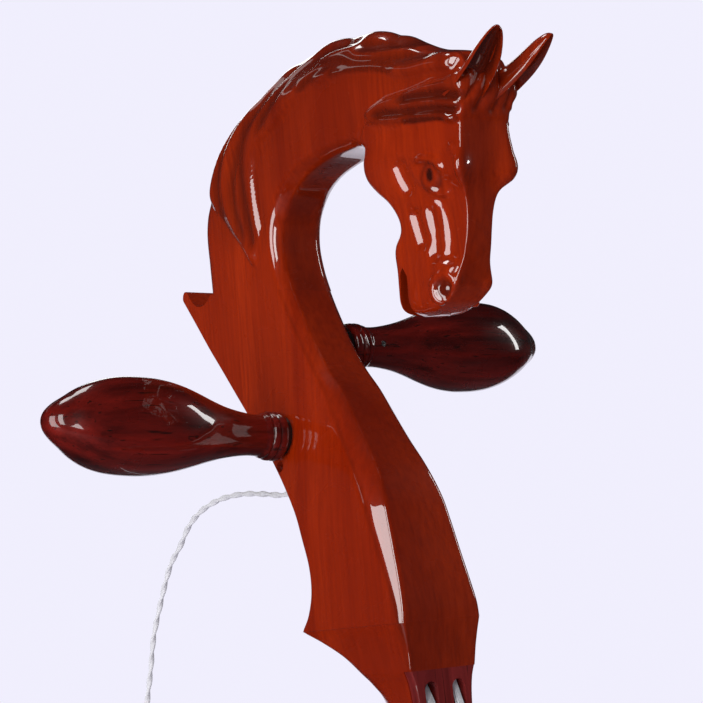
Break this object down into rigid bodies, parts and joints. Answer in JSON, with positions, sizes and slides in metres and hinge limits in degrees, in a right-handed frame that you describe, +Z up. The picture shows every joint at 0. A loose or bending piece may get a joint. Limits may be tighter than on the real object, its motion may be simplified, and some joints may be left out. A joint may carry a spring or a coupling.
{
  "type": "horse-head fiddle",
  "caption": "Bowed fiddle with a tapered wooden soundbox, a long neck, an open-backed pegbox with side tuning pegs, and a carved horse's head on top.",
  "frame": {"origin": "middle of the end button's grip, on the middle plane", "axes": "+Z up the neck to the horse's head, -Y the side of the strings, +X the side of the upper peg"},
  "size_m": [0.2824, 0.343, 1.081],
  "materials": {
    "lacquered_maple": "gloss lacquer",
    "lacquered_spruce": "gloss lacquer",
    "raw_spruce": "bare",
    "plain_maple": "oiled",
    "rosewood": "polished",
    "ebony": "polished",
    "nylon_filament": "translucent strands side by side",
    "white_cord": "twisted",
    "gut": "smooth",
    "steel": "brushed"
  },
  "bodies": {
    "fiddle": {"horse_head": "lacquered_maple", "pegbox": "lacquered_maple", "neck": "lacquered_maple", "facing": "rosewood", "upper_bridge": "ebony", "left_bushing": "ebony", "right_bushing": "ebony", "low_string": "nylon_filament", "high_string": "nylon_filament", "string_tail": "white_cord", "front_plate": "lacquered_spruce", "back_plate": "lacquered_maple", "front_binding": "ebony", "back_binding": "ebony", "top_rib": "lacquered_maple", "bottom_rib": "lacquered_maple", "left_rib": "lacquered_maple", "right_rib": "lacquered_maple", "front_lining": "raw_spruce", "back_lining": "raw_spruce", "corner_blocks": "raw_spruce", "top_block": "raw_spruce", "tail_block": "raw_spruce", "bass_bar": "raw_spruce", "sound_post": "raw_spruce", "bridge": "plain_maple", "tailpiece": "rosewood", "tail_gut": "gut", "bottom_saddle": "ebony", "end_button": "ebony"},
    "left_peg": {"left_peg_handle": "rosewood", "left_peg_shaft": "rosewood", "left_lock_screw": "steel", "left_winding": "nylon_filament"},
    "right_peg": {"right_peg_handle": "rosewood", "right_peg_shaft": "rosewood", "right_lock_screw": "steel", "right_winding": "nylon_filament"}
  },
  "joints": [
    {"name": "left_peg_turn", "type": "hinge", "parent": "fiddle", "child": "left_peg", "pos_m": [0, 0.0365, 0.8873], "axis": [-0.9973, 0, 0.0732], "continuous": true},
    {"name": "right_peg_turn", "type": "hinge", "parent": "fiddle", "child": "right_peg", "pos_m": [0, 0.029, 0.9313], "axis": [0.9999, 0, 0.0122], "continuous": true}
  ]
}
